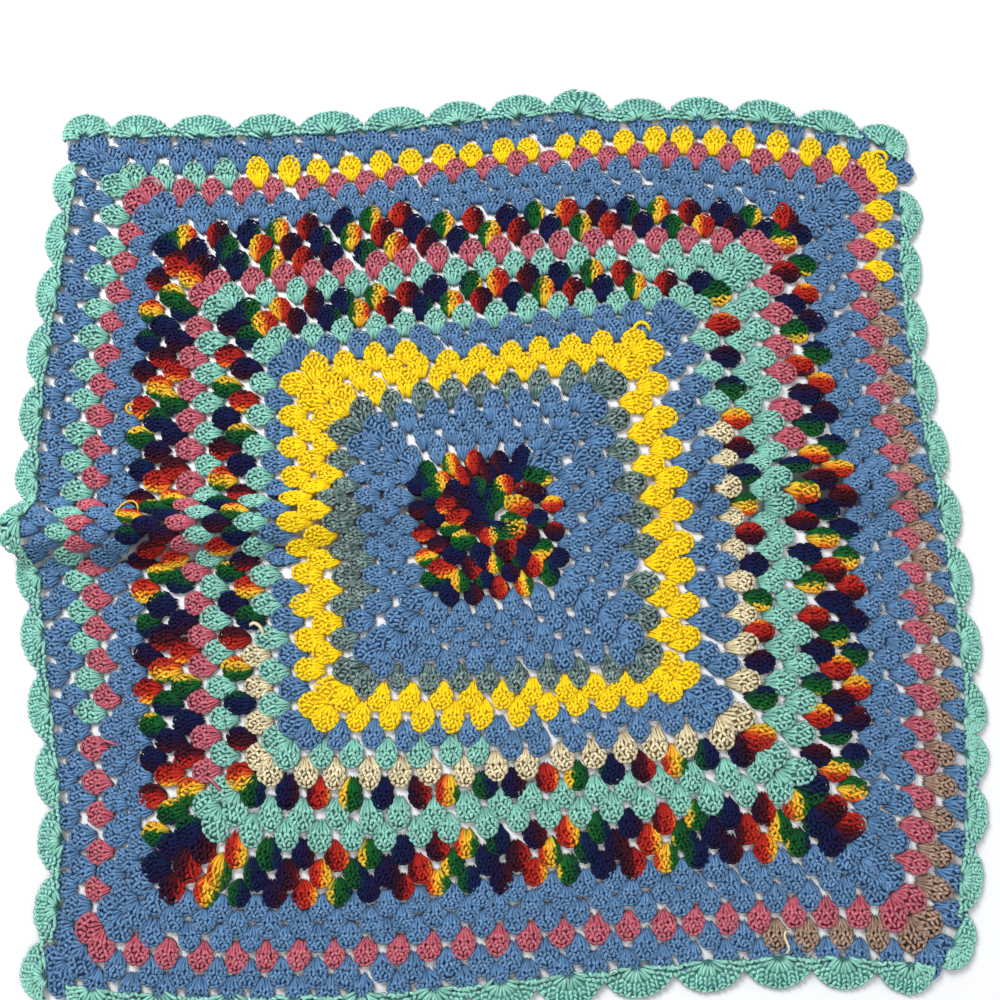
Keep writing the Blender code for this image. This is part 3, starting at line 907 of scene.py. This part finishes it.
def dyed(n):
    """The many-coloured yarn's colour, by how far through its cycle it is."""
    ramp = n.add("ShaderNodeValToRGB", {0: n.math("FRACT", n.fact("phase"))})
    stops = ramp.color_ramp.elements
    for stop, at in zip(stops, (0.0, 1.0)):
        stop.position, stop.color = at, (*DYES[0].colour, 1)
    for dye in DYES[1:]:
        stops.new(dye.at).color = (*dye.colour, 1)
    return ramp.outputs[0]


def new_material(name):
    """A material, its tree's nodes and its surface."""
    material = bpy.data.materials.new(name)
    material.use_nodes = True
    return material, Nodes(material.node_tree), material.node_tree.nodes["Principled BSDF"]


def yarn_material(name, group):
    """A yarn's material: the spun yarn group over its colours, with a soft sheen."""
    material, n, surface_node = new_material(f"yarn_{name}")
    look = LOOKS[name]
    colours = (dyed(n),) * 2 if name == "multi" else ((*look.main, 1), (*look.second, 1))
    spun = n.add("ShaderNodeGroup", node_tree=group)
    # the yarn's colours and the tint of its painted shade
    n.fill(spun, {"Colour": colours[0], "Second colour": colours[1], "Painted shade tint": (*look.deep, 1),
                  "Marl": look.marl, "Mottle": look.mottle})
    n.fill(surface_node, {"Base Color": spun.outputs["Colour"], "Normal": spun.outputs["Normal"],
                          "Roughness": ROUGHNESS, "Specular IOR Level": SPECULAR,
                          "Sheen Weight": DARK_SHEEN if name == "multi" else SHEEN,
                          "Sheen Roughness": SHEEN_ROUGHNESS})
    return material


# --- building ---
def loose_ends(yarn):
    """Batches for the loose ends of a length of yarn, each one strand, standing highest at its middle.

    Each runs along the third-degree curve through its four places.
    """
    batches = []
    for end in (e for e in ENDS_OF_YARN if e.yarn == yarn):
        share = np.linspace(0, 1, END_STATIONS)
        at = 3 * share[:, None]
        first, second, third, last = np.array(end.path, float)
        place = (first * (at - 1) * (at - 2) * (at - 3) / -6 + second * at * (at - 2) * (at - 3) / 2
                 + third * at * (at - 1) * (at - 3) / -2 + last * at * (at - 1) * (at - 2) / 6)
        height, up = surface(place[:, 0], place[:, 1])
        rise = END_LOW + (END_HIGH - END_LOW) * np.sin(math.pi * share)
        points = raised(place, height) + up * rise[:, None]
        radius = np.where((share > 0) & (share < 1), end.radius, 0.0)[None]
        facts = {"deep": 0 * radius, "grain": 0 * radius + END_GRAIN, "phase": 0 * radius + end.phase}
        batches.append(Batch(points[None], radius, radius, up[None], facts, SIDES))
    return batches


def cell_area(side, turn, along):
    """The cloth's area in one cluster's cell, in square millimetres, from the lay's slopes there."""
    across, out = row_frame(side, turn, along)
    return np.abs(across[:, 0] * out[:, 1] - across[:, 1] * out[:, 0])


def add_cloth(name, node, batches, more, material):
    """The two pieces of one length of cloth, its bodies as a sheet and the strands on them."""
    cloth = make_piece(f"cloth_{name}", batches[:1], material)
    strands = make_piece(f"strands_{name}", batches[1:] + more, material)
    for piece in (cloth, strands):
        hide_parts(node)


def build_square(materials):
    """All clusters, two pieces for each length of yarn: the cloth's bodies, and the strands on them."""
    rng = np.random.default_rng(SQUARE_SEED)
    clusters = worked_clusters()
    yarn = yarn_of(clusters)
    phase = colour_phase(clusters)
    count = len(yarn)
    area = np.zeros(count)
    for side in CLOCKWISE:
        pick = clusters.side == side
        area[pick] = cell_area(side, clusters.round[pick], clusters.along[pick])
    lean = (clusters.corner * CORNER_LEAN + clusters.beside * NEXT_LEAN
            + rng.normal(0, TURN_SPREAD, count))
    scale = 1 + rng.normal(0, SIZE_SPREAD, (count, 2))
    scale[:, 0] *= np.where(clusters.corner != 0, CORNER_WIDEN, 1.0)
    scale *= np.interp(clusters.round, SIZE_ROUNDS, SIZE_SHARES)[:, None]
    shift = rng.normal(0, SHIFT_SPREAD, (count, 1, 1, 2))
    shift[clusters.round == 1, ..., 1] -= FIRST_SHIFT
    laid = []
    for kind in cluster_template():
        loose = shaken(kind, count, rng)
        flat = turned(loose.points, (0.0, EGG_TIP), lean, scale) + shift
        local = raised(flat, loose.height)
        points, up = to_cloth(clusters.side, clusters.round, clusters.along, local)
        middle = loose.points[..., 0].mean(axis=2, keepdims=True)
        turn = phase[:, None, None] + middle / (2 * EGG_HALF_WIDTH) / CLUSTERS_PER_CYCLE
        shape = loose.radius.shape
        turn = turn + rng.normal(0, PHASE_SPREAD, shape[:2] + (1,)) + WHOLE_CYCLES
        grain = np.broadcast_to(rng.random(shape[:2] + (1,)), shape)
        laid.append((points, loose.radius, loose.rise, up, loose.deep, grain,
                     np.broadcast_to(turn, shape), kind.sides))
    for number, length in enumerate(YARNS):
        pick = yarn == number
        batches = []
        for *arrays, sides in laid:
            joined = [a[pick].reshape((-1,) + a.shape[2:]) for a in arrays]
            # facts per station: the painted shade, the grains' random tone and the colour phase
            facts = dict(zip(("deep", "grain", "phase"), joined[4:]))
            batches.append(Batch(*joined[:4], facts, sides))
        add_cloth(f"{number + 1:02d}_{length.name}", "granny_square", batches, loose_ends(length.name),
                  materials[length.colour])


def build_edging(materials):
    """The shell edging: fans of stitches round the outside, each as wide as its neighbours let it."""
    rng = np.random.default_rng(EDGING_SEED)
    laid = [[], [], []]
    flat_area, flat_length = 0.0, 0.0
    for side in CLOCKWISE:
        shells = SHELLS[side]
        line = rim_line(side)
        axis = 0 if side in ("top", "bottom") else 1
        row = np.array(shells.before + shells.places + shells.after, float)
        at = np.interp(ahead(side, row), ahead(side, line[0][:, axis]), line[2])
        first, last = len(shells.before), len(shells.before) + len(shells.places) - 1
        for number in range(first, last + 1):
            before = (at[number] - at[number - 1]) / 2 if number else FAN_HALF_WIDTH
            after = (at[number + 1] - at[number]) / 2 if number + 1 < len(at) else FAN_HALF_WIDTH
            lean = np.radians([shells.lean[0] * (number == first) + shells.lean[1] * (number == last)])
            flat_area += math.pi / 4 * (before + after) * (shells.depth - FAN_FOOT) * MM * MM
            flat_length += (before + after) * MM
            kinds = fan_template(shells.depth, before * FAN_OVERLAP, after * FAN_OVERLAP, number < last)
            for kept, kind in zip(laid, kinds):
                loose = shaken(kind, 1, rng)
                flat = turned(loose.points, (0.0, FAN_FOOT), lean, np.ones((1, 2)))
                rise = FAN_LIFT * (1 - FAN_DROP * np.clip(flat[..., 1:] / shells.depth, 0, 1))
                local = np.concatenate([flat, loose.height[..., None] + rise], axis=-1)
                spot, up = to_rim(line, at[number], local)
                arrays = (spot, loose.radius, loose.rise, up, loose.deep)
                kept.append([a.reshape((-1,) + a.shape[2:]) for a in arrays])
    batches = []
    for kept, sides in zip(laid, (BODY_SIDES, SIDES, SIDES)):
        points, radius, rise, up, deep = (np.concatenate(a) for a in zip(*kept))
        grain = np.broadcast_to(rng.random(len(points))[:, None], radius.shape)
        batches.append(Batch(points, radius, rise, up, {"deep": deep, "grain": grain}, sides))
    add_cloth("18_shells", "shell_edging", batches, [], materials["aqua"])


# --- table top, camera and light ---
TABLE_HALF_WIDTH = 4.0  # m
TABLE_COLOUR = (0.86, 0.86, 0.87)
TABLE_SHADE = 0.97  # of its colour, in its faint cloudy patches
TABLE_NOISE = (3.0, 2.0)
TABLE_ROUGHNESS = 0.6
CAMERA_PLACE = (3.33, -210.29, 1232.82)  # in the tables' millimetres
CAMERA_TILT = math.radians(11.5)  # from looking straight down
CAMERA_ROLL = math.radians(0.8)
CAMERA_SENSOR = 36.0  # mm
CAMERA_FOCAL = 48.67
SKY_COLOUR = (0.95, 0.98, 1.0, 1)
SKY_STRENGTH = 0.50
# The lamps, in metres and watts.
LAMPS = table("name place size power",
              ("key", (-1.2, 1.3, 2.2), 1.2, 72.0), ("fill", (1.6, -0.8, 2.4), 1.8, 20.0))


def link(name, data):
    """A new object of data, in the scene."""
    thing = bpy.data.objects.new(name, data)
    bpy.context.scene.collection.objects.link(thing)
    return thing


def build_stage():
    """The pale, matt table top under the blanket."""
    material, n, surface_node = new_material("table_top")
    dark = (*(c * TABLE_SHADE for c in TABLE_COLOUR), 1)
    tint = n.mix(n.noise(n.place(), *TABLE_NOISE), dark, (*TABLE_COLOUR, 1))
    n.fill(surface_node, {"Base Color": tint, "Roughness": TABLE_ROUGHNESS})
    mesh = bpy.data.meshes.new("table_top")
    half = TABLE_HALF_WIDTH
    corners = [(-half, -half, 0), (half, -half, 0), (half, half, 0), (-half, half, 0)]
    mesh.from_pydata(corners, [], [(0, 1, 2, 3)])
    mesh.materials.append(material)
    link("table_top", mesh)


def build_camera():
    """The camera over the blanket, tilted towards its far edge."""
    data = bpy.data.cameras.new("camera")
    data.sensor_width = CAMERA_SENSOR
    data.lens = CAMERA_FOCAL
    camera = link("camera", data)
    place = Matrix.Translation([(p - c) * MM for p, c in zip(CAMERA_PLACE, (*CENTRE, 0))])
    camera.matrix_world = (place @ Matrix.Rotation(CAMERA_TILT, 4, "X")
                           @ Matrix.Rotation(-CAMERA_ROLL, 4, "Z"))
    bpy.context.scene.camera = camera


def build_lights():
    """Soft studio light: a bright even sky and two large lamps, the stronger from the far left."""
    world = bpy.data.worlds.new("studio")
    bpy.context.scene.world = world
    world.use_nodes = True
    sky = world.node_tree.nodes["Background"]
    Nodes(world.node_tree).fill(sky, {"Color": SKY_COLOUR, "Strength": SKY_STRENGTH})
    for lamp in LAMPS:
        data = bpy.data.lights.new(lamp.name, "AREA")
        data.size = lamp.size
        data.energy = lamp.power
        light = link(lamp.name, data)
        light.location = lamp.place
        light.rotation_mode = "QUATERNION"
        light.rotation_quaternion = light.location.normalized().to_track_quat("Z", "Y")


def main():
    """Build everything."""
    build_camera()
    build_lights()
    build_stage()
    group = yarn_group()
    materials = {name: yarn_material(name, group) for name in LOOKS}
    build_square(materials)
    build_edging(materials)
    bpy.context.scene.view_settings.view_transform = "Standard"


main()
